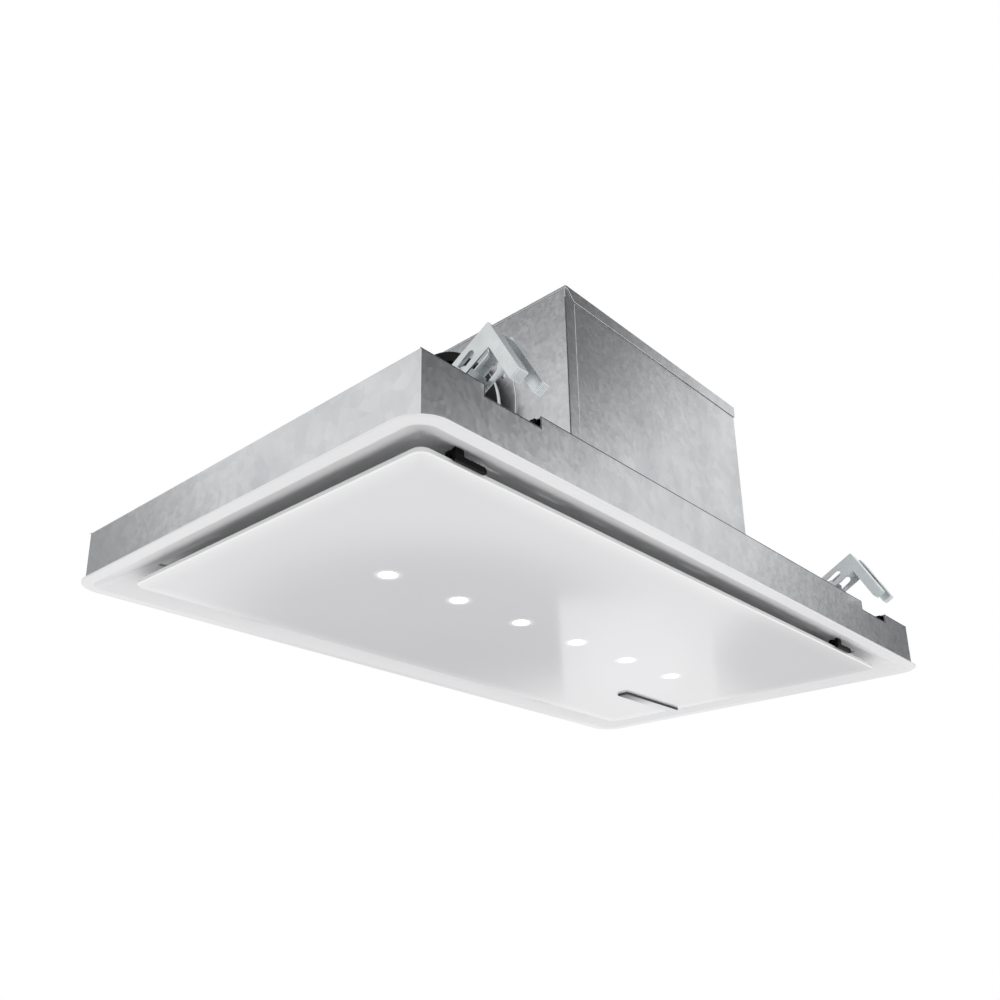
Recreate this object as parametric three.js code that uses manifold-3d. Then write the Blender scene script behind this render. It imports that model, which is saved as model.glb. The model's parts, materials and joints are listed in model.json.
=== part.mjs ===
// Ceiling range hood: a recessed extractor with a hinged white glass panel, a perimeter suction gap,
// a galvanised housing, a blower box with a side duct collar and four swing-out ceiling clamps.
// Millimetres, +Z up. The origin is the middle of the ceiling cut-out, in the plane of the ceiling's
// underside, where the upper face of the frame's flange bears. Heights count from the underside of the glass.
// X runs along the long side, and the panel hinges along the far (+Y) long side.

import * as THREE from 'three';
import { mergeVertices } from 'three/addons/utils/BufferGeometryUtils.js';
import Module from 'manifold-3d';

const wasm = await Module();
wasm.setup();

// ---------------------------------------------------------------- driving dimensions
const gap = 0.3;                       // air left between pieces that touch
const sheet = 1.5;                     // steel sheet, also its bends

const frameLength = 900;               // visible ceiling frame
const frameWidth = 500;
const frameCorner = 30;
const flangeThick = 2.5;
const bandWidth = 12;                  // flat band round the frame
const coveRise = 18;                   // the suction cove climbs from the band to the pan
const coveRun = 34;
const coveSlope = Math.atan(coveRise / coveRun);
const coveTop = 23;
const lipInset = 60;

const panelLength = 812;               // hinged glass
const panelWidth = 412;
const panelThick = 6;
const panelCorner = 11;
const panelEdge = 0.9;                 // ground edge of the glass
const stripDrop = 3;                   // the control strip hangs this far below the glass
const ledPitch = 100;
const ledCount = 6;
const ledRadius = 9;

const housingLength = 880;             // galvanised housing above the ceiling
const housingWidth = 480;
const housingTop = 57.5;

const boxHalf = 168;                   // square blower box, half its side
const boxTop = 293;
const lidTop = 296.5;
const lidLip = 14;
const sideReturn = 15;                 // the duct wall folds round both corners

const ductRadius = 75;                 // 150 mm duct
const ductHeight = 190;
const ductMouth = -200;
const flapRadius = 69;                 // half-disc flaps of the non-return damper

const clampX = 338;                    // clamps sit this far from the middle of each long side
const clampHalf = 15;                  // half the width of a clamp bracket
const notchHalf = 34;
const notchBottom = 46.6;

const panBottom = coveTop + sheet + gap;   // recess ceiling, resting on the lip of the cove
const panTop = panBottom + sheet;
const housingBase = flangeThick;
const rebateFloor = flangeThick - gap; // the walls stand in a shallow square-cornered rebate of the flange
const innerHalfLength = housingLength / 2 - sheet;
const innerHalfWidth = housingWidth / 2 - sheet;

// ---------------------------------------------------------------- materials
const paint = (name, color, roughness, metalness) =>
  new THREE.MeshStandardMaterial({ name, color, roughness, metalness });

const galvanised = () => paint('galvanised steel', '#b9babc', 0.42, 0.9);
const zincPlate = () => paint('zinc plated steel', '#cdd2d2', 0.3, 0.95);
const whiteEnamel = () => paint('white enamelled steel', '#f0f0f1', 0.35, 0.0);
const whiteGlass = () => paint('white glass', '#eeeeef', 0.12, 0.0);
const blackPlastic = () => paint('black plastic', '#17181a', 0.45, 0.0);
const greyPlastic = () => paint('grey plastic', '#5d6064', 0.5, 0.0);
const aluminium = () => paint('anodised aluminium', '#c6c8ca', 0.35, 0.9);
const ledLens = () => paint('frosted lens', '#fbfbff', 0.3, 0.0);
const castAlloy = () => paint('cast aluminium', '#9da0a3', 0.45, 0.8);

// ---------------------------------------------------------------- solids
function toSolid(geometry) {
  const clean = geometry.clone();
  for (const name of ['normal', 'uv']) clean.deleteAttribute(name);
  const merged = mergeVertices(clean, 1e-4);
  const vertProperties = new Float32Array(merged.attributes.position.array);
  const triVerts = new Uint32Array(merged.index.array);
  return new wasm.Manifold(new wasm.Mesh({ numProp: 3, vertProperties, triVerts }));
}

function toGeometry(solid) {
  const mesh = solid.getMesh();
  const geometry = new THREE.BufferGeometry();
  geometry.setAttribute('position', new THREE.BufferAttribute(mesh.vertProperties.slice(), 3));
  geometry.setIndex(new THREE.BufferAttribute(mesh.triVerts.slice(), 1));
  return geometry;
}

const join = (...solids) => solids.reduce((sum, next) => sum.add(next));
const cut = (solid, ...tools) => tools.reduce((rest, tool) => rest.subtract(tool), solid);

// A block between two corners.
function block(x0, x1, y0, y1, z0, z1) {
  const geometry = new THREE.BoxGeometry(x1 - x0, y1 - y0, z1 - z0);
  return toSolid(geometry.translate((x0 + x1) / 2, (y0 + y1) / 2, (z0 + z1) / 2));
}

// A round bar between two heights along 'x', 'y' or 'z'; a and b are its centre on the other two axes.
function bar(axis, radius, a, b, from, to, sides = 24) {
  const geometry = new THREE.CylinderGeometry(radius, radius, to - from, sides);
  const middle = (from + to) / 2;
  if (axis === 'x') geometry.rotateZ(Math.PI / 2).translate(middle, a, b);
  if (axis === 'y') geometry.translate(a, middle, b);
  if (axis === 'z') geometry.rotateX(Math.PI / 2).translate(a, b, middle);
  return toSolid(geometry);
}

// A flat outline in the XY plane, raised from z0 to z1.
function plate(shape, z0, z1, curveSegments = 8) {
  const geometry = new THREE.ExtrudeGeometry(shape, { depth: z1 - z0, bevelEnabled: false, curveSegments });
  return toSolid(geometry.translate(0, 0, z0));
}

// A flat outline drawn in the YZ plane, extruded from x0 to x1.
function sidePlate(shape, x0, x1, curveSegments = 8) {
  const geometry = new THREE.ExtrudeGeometry(shape, { depth: x1 - x0, bevelEnabled: false, curveSegments });
  const turn = new THREE.Matrix4().makeBasis(
    new THREE.Vector3(0, 1, 0), new THREE.Vector3(0, 0, 1), new THREE.Vector3(1, 0, 0));
  return toSolid(geometry.applyMatrix4(turn).translate(x0, 0, 0));
}

// A profile of [radius, height] points turned about the Z axis.
function turned(profile, sides = 32) {
  const points = profile.map(([r, z]) => new THREE.Vector2(r, z));
  return toSolid(new THREE.LatheGeometry(points, sides).rotateX(Math.PI / 2));
}

function roundedRect(length, width, radius) {
  const x = length / 2;
  const y = width / 2;
  const shape = new THREE.Shape();
  shape.moveTo(-x + radius, -y);
  shape.lineTo(x - radius, -y);
  shape.absarc(x - radius, -y + radius, radius, -Math.PI / 2, 0, false);
  shape.lineTo(x, y - radius);
  shape.absarc(x - radius, y - radius, radius, 0, Math.PI / 2, false);
  shape.lineTo(-x + radius, y);
  shape.absarc(-x + radius, y - radius, radius, Math.PI / 2, Math.PI, false);
  shape.lineTo(-x, -y + radius);
  shape.absarc(-x + radius, -y + radius, radius, Math.PI, Math.PI * 1.5, false);
  return shape;
}

function outline(points) {
  const shape = new THREE.Shape();
  points.forEach(([x, y], i) => (i ? shape.lineTo(x, y) : shape.moveTo(x, y)));
  return shape;
}

// A closed [inset, z] section swept round a rounded rectangle; the corner radius shrinks with the inset.
function rimSweep(length, width, radius, section, cornerSteps = 8, leastRadius = 2) {
  const rings = section.map(([inset, z]) => {
    const r = Math.max(radius - inset, leastRadius);
    const x = length / 2 - inset - r;
    const y = width / 2 - inset - r;
    const ring = [];
    for (const [cx, cy, start] of [[x, -y, -90], [x, y, 0], [-x, y, 90], [-x, -y, 180]]) {
      for (let i = 0; i <= cornerSteps; i++) {
        const angle = THREE.MathUtils.degToRad(start + (90 * i) / cornerSteps);
        ring.push([cx + r * Math.cos(angle), cy + r * Math.sin(angle), z]);
      }
    }
    return ring;
  });
  const around = rings[0].length;
  const index = [];
  rings.forEach((_, i) => {
    const next = (i + 1) % rings.length;
    for (let j = 0; j < around; j++) {
      const k = (j + 1) % around;
      const [a, b, c, d] = [i * around + j, i * around + k, next * around + k, next * around + j];
      index.push(a, c, b, a, d, c);
    }
  });
  const geometry = new THREE.BufferGeometry();
  geometry.setAttribute('position', new THREE.Float32BufferAttribute(rings.flat(2), 3));
  geometry.setIndex(index);
  return toSolid(geometry);
}

// Height of the underside of the cove, this far from the middle of the plan.
const coveAt = (y) => (frameWidth / 2 - bandWidth - Math.abs(y)) * Math.tan(coveSlope);

// ---------------------------------------------------------------- the hood
const hood = new THREE.Group();
hood.position.z = -flangeThick;
const farSide = new THREE.Matrix4().makeRotationZ(Math.PI);

function add(name, solid, material, matrix) {
  const geometry = toGeometry(solid);
  if (matrix) geometry.applyMatrix4(matrix);
  const mesh = new THREE.Mesh(geometry, material);
  mesh.name = name;
  hood.add(mesh);
}

// White ceiling frame: a flat band, then a cove that leads the air in above the panel.
function addCeilingFrame() {
  const coveEnd = bandWidth + coveRun;
  const [back, up] = [sheet * Math.sin(coveSlope), sheet * Math.cos(coveSlope)];
  const section = [
    [0, 1], [1, 0], [bandWidth, 0], [coveEnd, coveRise], [coveEnd + 7, coveRise + 3.2],
    [lipInset, coveTop], [lipInset, coveTop + sheet], [coveEnd + 6.4, coveRise + 4.6],
    [coveEnd - back, coveRise + up],
    [bandWidth - back + (flangeThick - up) / Math.tan(coveSlope), flangeThick], [0, flangeThick],
  ];
  const rebateInset = bandWidth + 1.8;
  const x = housingLength / 2 + 0.5;
  const y = housingWidth / 2 + 0.5;
  const inside = roundedRect(frameLength - 2 * rebateInset, frameWidth - 2 * rebateInset,
    frameCorner - rebateInset);
  const rebate = cut(block(-x, x, -y, y, rebateFloor, flangeThick + 1), plate(inside, 0, flangeThick + 2));
  const frame = cut(rimSweep(frameLength, frameWidth, frameCorner, section), rebate);
  add('ceiling_frame', frame, whiteEnamel());
}

// Recess ceiling with two filter openings and holes for the clamp screws.
const filterCentre = 162;
const filterOpening = 300;

function addIntakePan() {
  const inset = lipInset - 8;
  const shape = roundedRect(frameLength - 2 * inset, frameWidth - 2 * inset, 4);
  let pan = plate(shape, panBottom, panTop, 3);
  const half = filterOpening / 2;
  for (const x of [-filterCentre, filterCentre]) {
    pan = cut(pan, block(x - half, x + half, -half, half, 0, 60));
    for (const y of [-clampScrewY, clampScrewY]) {
      pan = cut(pan, bar('z', 3.6, Math.sign(x) * clampX, y, 0, 60));
    }
  }
  add('intake_pan', pan, whiteEnamel());
}

// Galvanised housing: four walls and a deck, notched where the clamps pass the long walls.
function addHousing() {
  const outer = block(-housingLength / 2, housingLength / 2, -housingWidth / 2, housingWidth / 2,
    housingBase, housingTop);
  const inner = block(-innerHalfLength, innerHalfLength, -innerHalfWidth, innerHalfWidth,
    housingBase - 5, housingTop - sheet);
  let shell = cut(outer, inner, block(-150, 150, -150, 150, 40, 70));
  for (const x of [-clampX, clampX]) {
    for (const side of [-1, 1]) {
      const ys = [side * (housingWidth / 2 + 1), side * pocketInner].sort((a, b) => a - b);
      shell = cut(shell, block(x - notchHalf, x + notchHalf, ys[0], ys[1], notchBottom, 70));
    }
  }
  add('housing_shell', shell, galvanised());
}

// Blower box: the duct wall wraps both corners, one sheet makes the other three sides, a lid closes it.
function addBlowerBox() {
  const base = housingTop + gap;
  const inner = boxHalf - sheet;
  const seam = -boxHalf + sideReturn;
  const ductWall = cut(
    block(-boxHalf, seam, -boxHalf, boxHalf, base, boxTop),
    block(-inner, seam + 1, -inner, inner, base - 1, boxTop + 1),
    bar('x', ductRadius - 1, 0, ductHeight, -boxHalf - 5, -boxHalf + 5, 48));
  add('blower_wall_duct', ductWall, galvanised());

  const wrap = cut(
    block(seam + gap, boxHalf, -boxHalf, boxHalf, base, boxTop),
    block(seam - 1, inner, -inner, inner, base - 1, boxTop + 1));
  add('blower_wall_wrap', wrap, galvanised());

  const over = boxHalf + gap + 0.9;
  const lidPlate = block(-boxHalf, over, -over, over, boxTop + gap, lidTop);
  const lipShape = outline([
    [-boxHalf, lidTop], [seam - 1.5, lidTop - lidLip], [over, lidTop - lidLip], [over, lidTop]]);
  let lid = lidPlate;
  for (const side of [-1, 1]) {
    const wall = new THREE.ExtrudeGeometry(lipShape, { depth: 0.9, bevelEnabled: false });
    wall.rotateX(Math.PI / 2).translate(0, side > 0 ? over : -over + 0.9, 0);
    lid = join(lid, toSolid(wall));
  }
  lid = join(lid, block(boxHalf + gap, over, -over, over, lidTop - lidLip, lidTop));
  add('blower_lid', lid, galvanised());
}

// Duct collar on the -X wall: a steel spigot with its flange, and the black damper ring on its mouth.
const toDuct = new THREE.Matrix4()
  .makeRotationY(-Math.PI / 2)
  .setPosition(0, 0, ductHeight);

function addDuct() {
  const wall = boxHalf + gap;                       // distances run outward, along -X
  const spigot = turned([
    [73.4, wall], [100, wall], [100, wall + 1.2], [79.5, wall + 1.2], [78.4, wall + 3.6],
    [76.4, wall + 4.4], [ductRadius, wall + 3.6], [ductRadius, wall + 20], [73.4, wall + 20], [73.4, wall]]);
  add('duct_spigot', spigot, galvanised(), toDuct);

  const mouth = -ductMouth;
  const ring = turned([
    [ductRadius + gap, wall + 7], [80.5, wall + 7], [81.5, wall + 12], [81.5, mouth - 2.5],
    [79.5, mouth], [76.5, mouth], [72, mouth - 3], [71.6, wall + 21],
    [ductRadius + gap, wall + 21], [ductRadius + gap, wall + 7]]);
  const pinHole = bar('x', flapPinRadius + gap, 0, flapAxis, -90, 90, 16);
  add('damper_ring', cut(ring, pinHole), blackPlastic(), toDuct);
  add('damper_pin', bar('x', flapPinRadius, 0, flapAxis, -81, 81, 16), zincPlate(), toDuct);
  add('damper_flap_near', damperFlap(-1), blackPlastic(), toDuct);
  add('damper_flap_far', damperFlap(1), blackPlastic(), toDuct);
}

// One half-disc flap. Its knuckles take turns on the pin with those of the other flap.
const flapAxis = boxHalf + 25;
const flapPinRadius = 1.6;
const flapHalfThick = 0.8;
const knuckleRadius = 3.4;

function damperFlap(side) {
  const low = flapAxis - flapHalfThick;
  const high = flapAxis + flapHalfThick;
  const disc = plate(new THREE.Shape().absarc(0, 0, flapRadius, 0, Math.PI * 2), low, high, 16);
  const edge = knuckleRadius - 0.2;
  const half = side < 0 ? block(-90, 90, -90, -edge, 0, 300) : block(-90, 90, edge, 90, 0, 300);
  let flap = disc.intersect(half);
  for (const [near, far] of [[-60, -32], [4, 28]]) {
    const [from, to] = side < 0 ? [near, far] : [-far, -near];
    const root = block(from, to, Math.min(0, side * 4), Math.max(0, side * 4), low, high);
    flap = join(flap, root, bar('x', knuckleRadius, 0, flapAxis, from, to, 16));
    flap = cut(flap,
      bar('x', flapPinRadius + gap, 0, flapAxis, -90, 90, 16),
      bar('x', knuckleRadius + 0.8, 0, flapAxis, -to - gap, -from + gap, 16));
  }
  return flap;
}

// Scroll housing: a spiral wall between two plates, open towards the duct.
const fanX = 35;
const fanY = -45;
const scrollBottom = 108;
const scrollCeiling = 265.5;

function scrollOutline(grow) {
  const points = [];
  const steps = 36;
  for (let i = 0; i <= steps; i++) {
    const turn = 200 + (250 * i) / steps;
    const r = 106 + (24 * i) / steps + grow;
    const a = THREE.MathUtils.degToRad(turn);
    points.push([fanX + r * Math.cos(a), fanY + r * Math.sin(a)]);
  }
  const end = -boxHalf + sheet + gap - (grow > 0 ? 0 : 5);
  points.push([end, 80 + grow], [end, -76 - grow]);
  return outline(points);
}

function addScroll() {
  const wallLow = scrollBottom + sheet + gap;
  const wallHigh = scrollCeiling - sheet - gap;
  const wall = cut(plate(scrollOutline(1.4), wallLow, wallHigh), plate(scrollOutline(0), 0, 400));
  add('scroll_wall', wall, galvanised());

  const floor = cut(plate(scrollOutline(1.4), scrollBottom, scrollBottom + sheet),
    bar('z', 76, fanX, fanY, 0, 400, 48));
  add('scroll_floor', floor, galvanised());

  const roof = cut(plate(scrollOutline(1.4), scrollCeiling - sheet, scrollCeiling),
    bar('z', 40, fanX, fanY, 0, 400, 36));
  add('scroll_roof', roof, galvanised());

  const atFan = new THREE.Matrix4().makeTranslation(fanX, fanY, 0);
  const lip = scrollBottom - gap;
  const cone = turned([
    [76.5, lip - sheet], [90, lip - sheet], [90, lip], [75.4, lip], [74.6, lip + 4], [73, lip + 10],
    [71.5, lip + 10], [73.1, lip + 3.8], [73.9, lip - 0.3], [76.5, lip - sheet]]);
  add('inlet_cone', cone, blackPlastic(), atFan);

  const bridgeLow = scrollCeiling + gap;
  const inner = boxHalf - sheet - gap;
  const bridge = join(
    block(fanX - 22, fanX + 22, -inner, inner, bridgeLow, bridgeLow + sheet),
    block(fanX - 22, fanX + 22, -inner, -inner + sheet, bridgeLow, boxTop - 2),
    block(fanX - 22, fanX + 22, inner - sheet, inner, bridgeLow, boxTop - 2));
  add('motor_bridge', bridge, galvanised());
}

// Blower rotor: a blade drum hung on the motor shaft, and the motor that stands inside its hub cup.
function addBlower() {
  const atFan = new THREE.Matrix4().makeTranslation(fanX, fanY, 0);
  const cup = turned([
    [4.2, 170], [53.5, 170], [53.5, 240], [95, 240], [95, 242], [51.8, 242], [51.8, 172],
    [12, 172], [12, 176], [4.2, 176], [4.2, 170]]);
  const rim = turned([[81, 120], [95, 120], [95, 123], [81, 123], [81, 120]]);
  const bladeCount = 32;
  let drum = join(cup, rim);
  for (let i = 0; i < bladeCount; i++) {
    const blade = new THREE.BoxGeometry(14, 1.4, 119.2)
      .rotateZ(THREE.MathUtils.degToRad(28))
      .translate(87.6, 0, 181.4)
      .rotateZ((i * 2 * Math.PI) / bladeCount);
    drum = join(drum, toSolid(blade));
  }
  add('fan_drum', drum, castAlloy(), atFan);

  const shaft = bar('z', 3.9, 0, 0, 162, 204, 20);
  add('motor_shaft', shaft, zincPlate(), atFan);

  const motor = turned([
    [4.3, 178], [18, 178], [20, 181], [46, 181], [46, 252], [60, 252], [60, 263.7], [12, 263.7], [12, 210],
    [4.3, 210], [4.3, 178]]);
  add('motor_can', motor, castAlloy(), atFan);
}

// Control box on the deck beside the blower box, with the gland that the mains lead goes in through.
const leadHole = 4;

function addControls() {
  const low = housingTop + gap;
  const tray = cut(
    block(196, 330, -70, 70, low, low + 34),
    block(199, 327, -67, 67, low + 3, low + 40),
    bar('x', leadHole, 30, low + 18, 320, 340, 20));
  add('control_tray', tray, greyPlastic());
  add('control_cover', join(
    block(195, 331, -71, 71, low + 34 + gap, low + 37),
    block(200, 326, -66, 66, low + 30, low + 36)), greyPlastic());
  const gland = turned([
    [leadHole, 0], [11, 0], [11, 5], [8, 6], [8, 16], [leadHole, 18], [leadHole, 0]], 20);
  const toSide = new THREE.Matrix4().makeRotationY(Math.PI / 2).setPosition(330 + gap, 30, low + 18);
  add('cable_gland', gland, blackPlastic(), toSide);
}

// Grease filters: a rimmed frame in each opening, slats for the mesh, a sprung latch in a notch of the rim.
function addFilters() {
  const half = filterOpening / 2 - gap;
  const rimWidth = 12;
  const inner = half - rimWidth;
  const low = panBottom - gap - sheet;
  const slatCount = 8;
  const slatPitch = (2 * inner) / (slatCount + 1);
  for (const [side, x] of [['left', -filterCentre], ['right', filterCentre]]) {
    const rim = cut(
      join(block(x - half, x + half, -half, half, low, panTop + 6),
        block(x - half - 5, x + half + 5, -half - 5, half + 5, low, low + sheet)),
      block(x - inner, x + inner, -inner, inner, low - 1, panTop + 7),
      block(x - 17, x + 17, -half + 1.2, -inner + 1, low - 1, panTop + 3),
      block(x - 6, x + 6, -half - 1, -half + 2, panTop, panTop + 3));
    const slats = Array.from({ length: slatCount }, (_, i) => {
      const y = -inner + (i + 1) * slatPitch;
      const z = low + 1 + (i % 2) * 3;
      return block(x - inner - 1, x + inner + 1, y - 9, y + 9, z, z + 1);
    });
    const spine = block(x - 1.5, x + 1.5, -inner + slatPitch, inner + 1, low + 1.2, low + 5.2);
    add(`grease_filter_${side}`, join(rim, ...slats, spine), aluminium());

    const grip = block(x - 14, x + 14, -half + 1.5, -half + 11.5, low + 0.3, panTop + 2.3);
    const finger = block(x - 8, x + 8, -half + 3, -half + 10, low - 1.2, low + 1);
    const tongue = block(x - 5, x + 5, -half - 4.7, -half + 2, panTop + gap, panTop + 2.3);
    add(`filter_latch_${side}`, join(grip, finger, tongue), blackPlastic());
  }
}

// Glass panel with a hole for each lamp.
const ledPlaces = Array.from({ length: ledCount }, (_, i) => (i - (ledCount - 1) / 2) * ledPitch);

function addPanel() {
  const sheetShape = new THREE.ExtrudeGeometry(roundedRect(panelLength, panelWidth, panelCorner), {
    depth: panelThick - 2 * panelEdge, bevelThickness: panelEdge, bevelSize: panelEdge,
    bevelOffset: -panelEdge, bevelSegments: 2, curveSegments: 6,
  });
  let glass = toSolid(sheetShape.translate(0, 0, panelEdge));
  for (const x of ledPlaces) glass = cut(glass, bar('z', ledRadius + gap, x, 0, -1, panelThick + 1, 20));
  add('glass_panel', glass, whiteGlass());

  const low = panelThick + gap;
  const trayHeight = 7.7;
  const shell = cut(
    block(-380, 380, -180, 180, low, low + trayHeight),
    block(-380 + sheet, 380 - sheet, -180 + sheet, 180 - sheet, low - 1, low + trayHeight - sheet),
    block(-300, -40, -130, -40, low, low + 20),
    block(40, 300, -130, -40, low, low + 20));
  add('panel_carrier', shell, whiteEnamel());

  ledPlaces.forEach((x, i) => {
    const lens = turned([
      [0, 0.4], [ledRadius - 0.8, 0.4], [ledRadius, 1], [ledRadius, low],
      [ledRadius + 4, low], [ledRadius + 4, low + 1.4], [5, low + 2.4], [0, low + 2.4]], 20);
    add(`led_lens_${i + 1}`, lens, ledLens(), new THREE.Matrix4().makeTranslation(x, 0, 0));
  });
  const board = block(-285, 285, -14, 14, low + 2.4 + gap, low + 4.4);
  add('led_board', board, greyPlastic());
}

// Control strip: a slim bar on the underside of the glass near its right-hand end.
function addControlStrip() {
  const strip = rimBar(274, 401, 86, 102, -stripDrop, -gap);
  add('control_strip', strip, blackPlastic());
}

function rimBar(x0, x1, y0, y1, z0, z1) {
  const bevel = 0.5;
  const body = block(x0, x1, y0, y1, z0 + bevel, z1);
  const face = block(x0 + bevel, x1 - bevel, y0 + bevel, y1 - bevel, z0, z1);
  return join(body, face);
}

// Two hinges under the cove on the far side: the base carries the pin, the leaf is screwed to the carrier.
const hingeX = 250;
const hingeY = 213;
const hingeZ = 6.8;

function addHinges() {
  const cove = coveAt(hingeY);
  for (const [side, x] of [['left', -hingeX], ['right', hingeX]]) {
    const foot = new THREE.BoxGeometry(23, 15, 1.8)
      .translate(0, 0, -0.9 - gap)
      .rotateX(-coveSlope)
      .translate(x, hingeY, cove);
    const base = join(
      toSolid(foot),
      block(x - 11.5, x + 11.5, hingeY - 2, hingeY + 2, hingeZ, cove - 1.6),
      bar('x', 3.2, hingeY, hingeZ, x - 11.5, x + 11.5, 20),
      bar('x', 1.5, hingeY, hingeZ, x - 21, x + 21, 16));
    add(`hinge_base_${side}`, base, blackPlastic());

    const plateLow = panelThick + gap;
    let leaf = block(x - 21, x + 21, 180 + gap, hingeY, plateLow, plateLow + 2);
    leaf = cut(leaf, block(x - 12, x + 12, hingeY - 5, hingeY + 5, 0, 20));
    for (const side2 of [-1, 1]) {
      const middle = x + side2 * 16.6;
      leaf = join(leaf, bar('x', 3.6, hingeY, hingeZ, middle - 4.4, middle + 4.4, 20));
    }
    leaf = cut(leaf, bar('x', 1.8, hingeY, hingeZ, x - 30, x + 30, 16));
    add(`hinge_leaf_${side}`, leaf, zincPlate());
  }
}

// Two magnet catches under the cove on the near side, and the steel strike that each one holds.
const catchX = [-368.5, 295];

function addCatches() {
  ['left', 'right'].forEach((side, i) => {
    const x = catchX[i];
    const under = gap / Math.cos(coveSlope);
    const wedge = (y0, y1, depth0, depth1) => outline([
      [y0, coveAt(y0) - depth0], [y1, coveAt(y1) - depth1],
      [y1, coveAt(y1) - under], [y0, coveAt(y0) - under]]);
    const body = join(
      sidePlate(wedge(-227, -210, 2.4, 6), x - 5, x + 5),
      sidePlate(wedge(-225, -208, 2, 2), x - 17, x - 5),
      block(x - 5, x + 34, -212.5, -199, 8.2, 12.8),
      bar('z', 3, x + 34, -209.5, 8.2, 12.8, 16));
    add(`magnet_catch_${side}`, body, blackPlastic());
    const low = panelThick + gap;
    const strike = block(x + 8, x + 30, -203, -180 - gap, low, low + sheet);
    add(`catch_strike_${side}`, strike, zincPlate());
  });
}

// Ceiling clamps, drawn for the near side. The bracket is an L of two cheeks. It is drawn in its own frame:
// U along the upper edge of the inner limb, V square to it and upwards, W along the hood, apex at the origin.
const apexY = -227.5;
const apexZ = 130;
const limbTilt = THREE.MathUtils.degToRad(28.8);
const pivotU = 46;
const pivotV = -11.5;
const pivotY = apexY + pivotU * Math.cos(limbTilt) + pivotV * Math.sin(limbTilt);
const pivotZ = apexZ - pivotU * Math.sin(limbTilt) + pivotV * Math.cos(limbTilt);
const clampScrewY = 184;
const pocketInner = 168;

const toLimb = new THREE.Matrix4().makeBasis(
  new THREE.Vector3(0, Math.cos(limbTilt), -Math.sin(limbTilt)),
  new THREE.Vector3(0, Math.sin(limbTilt), Math.cos(limbTilt)),
  new THREE.Vector3(1, 0, 0)).setPosition(0, apexY, apexZ);

function clampBracket() {
  const innerLength = 60;
  const innerDepth = 21;
  const outerLength = 65;
  const outerDepth = 11.5;
  const slotRadius = 4.1;
  const webSlotRadius = 6.5;
  const webSlotStart = 18 + webSlotRadius;
  const nearFlange = 12;
  const farFlange = 9.5;

  const cheek = outline([
    [0, 0], [0, -outerLength], [outerDepth, -outerLength], [outerDepth, -innerDepth],
    [innerLength, -innerDepth], [innerLength, 0]]);
  const slot = new THREE.Path();
  slot.absarc(28.4, pivotV + 1.1, slotRadius, Math.PI / 2, Math.PI * 1.5, false);
  slot.absarc(pivotU, pivotV, slotRadius, -Math.PI / 2, Math.PI / 2, false);
  cheek.holes.push(slot);

  const inside = clampHalf - sheet;
  const limbs = [[-clampHalf, -clampHalf + nearFlange, -clampHalf], [inside, inside + farFlange, inside]];
  const parts = limbs.flatMap(([from, to, face]) => [
    plate(cheek, face, face + sheet, 6),
    block(0, sheet, -outerLength, -3, from, to),
    block(0, outerDepth, -outerLength, -outerLength + sheet, from, to),
  ]);
  const web = cut(
    block(2, innerLength, -sheet, 0, -clampHalf, clampHalf),
    bar('y', webSlotRadius, webSlotStart, 0, -3, 1, 16),
    block(webSlotStart, innerLength + 1, -3, 1, -webSlotRadius, webSlotRadius));
  return join(...parts, web);
}

// Trunnion nut: it fits between the cheeks, clear of the web, and its narrow boss passes the slot of the web.
function clampCarrier() {
  const inside = clampHalf - sheet - gap;
  return cut(
    join(
      block(-inside, inside, pivotY - 6.7, pivotY + 8.3, pivotZ - 4, pivotZ + 4),
      block(-4.6, 4.6, pivotY - 6.7, -clampScrewY + 5.5, pivotZ - 5.5, pivotZ + 5.5),
      bar('x', 3.6, pivotY, pivotZ, -clampHalf - 1.2, clampHalf + 1.2, 16)),
    bar('z', 3.35, 0, -clampScrewY, 0, 200, 16));
}

function clampScrew() {
  const headTop = panBottom - gap;
  const tip = pivotZ + 8;
  return join(
    bar('z', 3, 0, -clampScrewY, headTop - 1, tip, 16),
    cut(bar('z', 5.5, 0, -clampScrewY, headTop - 4, headTop, 16),
      block(-5, 5, -clampScrewY - 0.6, -clampScrewY + 0.6, headTop - 5, headTop - 2.4)));
}

function clampPocket() {
  const half = notchHalf - gap;
  const outerY = -innerHalfWidth + gap;
  const innerY = -pocketInner - gap;
  const low = panTop + gap;
  const top = housingTop - 0.5;
  const wall = 2;
  return cut(
    block(-half, half, outerY, innerY, low, top),
    block(-half + wall, half - wall, outerY + wall, innerY - wall, low + wall, top + 5),
    block(-half - 1, half + 1, outerY - 1, outerY + wall + 1, notchBottom, top + 5),
    bar('z', 3.6, 0, -clampScrewY, 0, 60, 16));
}

function addClamps() {
  const places = [
    ['near_left', -clampX, false], ['near_right', clampX, false],
    ['far_left', -clampX, true], ['far_right', clampX, true]];
  for (const [name, x, far] of places) {
    const place = new THREE.Matrix4().makeTranslation(x, 0, 0);
    if (far) place.multiply(farSide);
    add(`clamp_bracket_${name}`, clampBracket(), zincPlate(), place.clone().multiply(toLimb));
    add(`clamp_carrier_${name}`, clampCarrier(), zincPlate(), place);
    add(`clamp_screw_${name}`, clampScrew(), zincPlate(), place);
    add(`clamp_pocket_${name}`, clampPocket(), blackPlastic(), place);
  }
}

addCeilingFrame();
addIntakePan();
addHousing();
addBlowerBox();
addDuct();
addScroll();
addBlower();
addControls();
addFilters();
addPanel();
addControlStrip();
addHinges();
addCatches();
addClamps();

export default hood;
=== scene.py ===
# A recessed ceiling range hood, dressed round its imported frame. Metres, +Z up; settings are in millimetres.
import json
import math

import bmesh
import bpy
from mathutils import Matrix, Vector


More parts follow.
